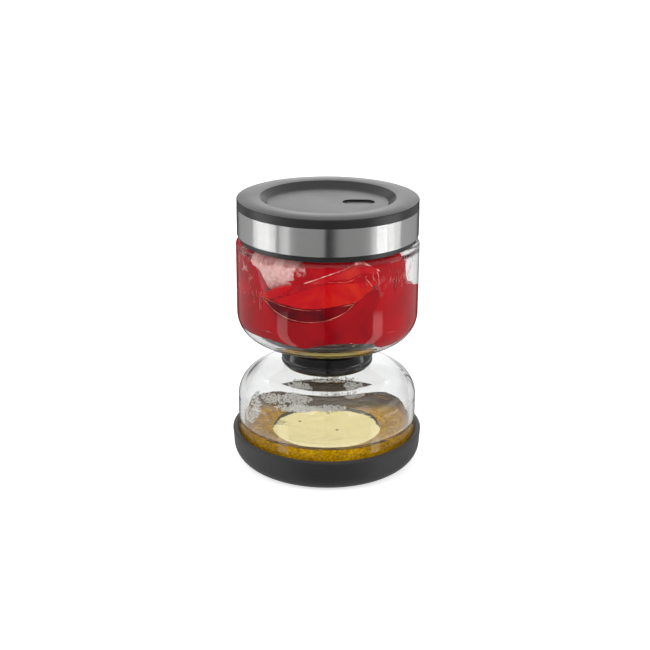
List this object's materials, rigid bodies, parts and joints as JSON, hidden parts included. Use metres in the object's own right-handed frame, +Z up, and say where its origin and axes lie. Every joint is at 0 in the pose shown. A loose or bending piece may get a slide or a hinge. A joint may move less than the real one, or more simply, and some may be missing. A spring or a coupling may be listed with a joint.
{
  "type": "pickle keeper with lift strainer",
  "caption": "Hourglass glass pickle keeper: a lidded upper jar drains through a lift-out strainer in the neck collar into a lower jar that stands in a soft base cup.",
  "frame": {"origin": "on the keeper's upright axis, at the surface that its base cup stands on", "axes": "+Z up along the axis of both jars; +X towards the bare oval recess in the lid's dish"},
  "size_m": [0.1136, 0.1136, 0.1618],
  "materials": {
    "lid_plastic": "satin dark grey moulded plastic",
    "lid_steel": "satin stainless steel",
    "jar_glass": "clear polished glass",
    "collar_plastic": "glossy near-black plastic",
    "strainer_plastic": "satin dark plastic",
    "seal_silicone": "translucent white silicone",
    "base_silicone": "soft matt dark grey silicone"
  },
  "bodies": {
    "base": {"base_cup": "base_silicone"},
    "lower_jar": {"lower_glass": "jar_glass"},
    "collar": {"neck_collar": "collar_plastic", "lower_neck_seal": "seal_silicone", "upper_neck_seal": "seal_silicone"},
    "strainer": {"strainer": "strainer_plastic"},
    "upper_jar": {"upper_glass": "jar_glass"},
    "lid": {"lid_cap": "lid_plastic", "lid_band": "lid_steel", "lid_thread_ring": "lid_plastic", "lid_seal": "seal_silicone"}
  },
  "joints": [
    {"name": "lower_glass_lift", "type": "slide", "parent": "base", "child": "lower_jar", "axis": [0, 0, 1], "range_m": [0, 0.04]},
    {"name": "collar_lift", "type": "slide", "parent": "lower_jar", "child": "collar", "axis": [0, 0, 1], "range_m": [0, 0.03]},
    {"name": "strainer_lift", "type": "slide", "parent": "collar", "child": "strainer", "axis": [0, 0, 1], "range_m": [0, 0.06]},
    {"name": "upper_glass_lift", "type": "slide", "parent": "collar", "child": "upper_jar", "axis": [0, 0, 1], "range_m": [0, 0.06]},
    {"name": "lid_lift", "type": "slide", "parent": "upper_jar", "child": "lid", "axis": [0, 0, 1], "range_m": [0, 0.06]}
  ]
}
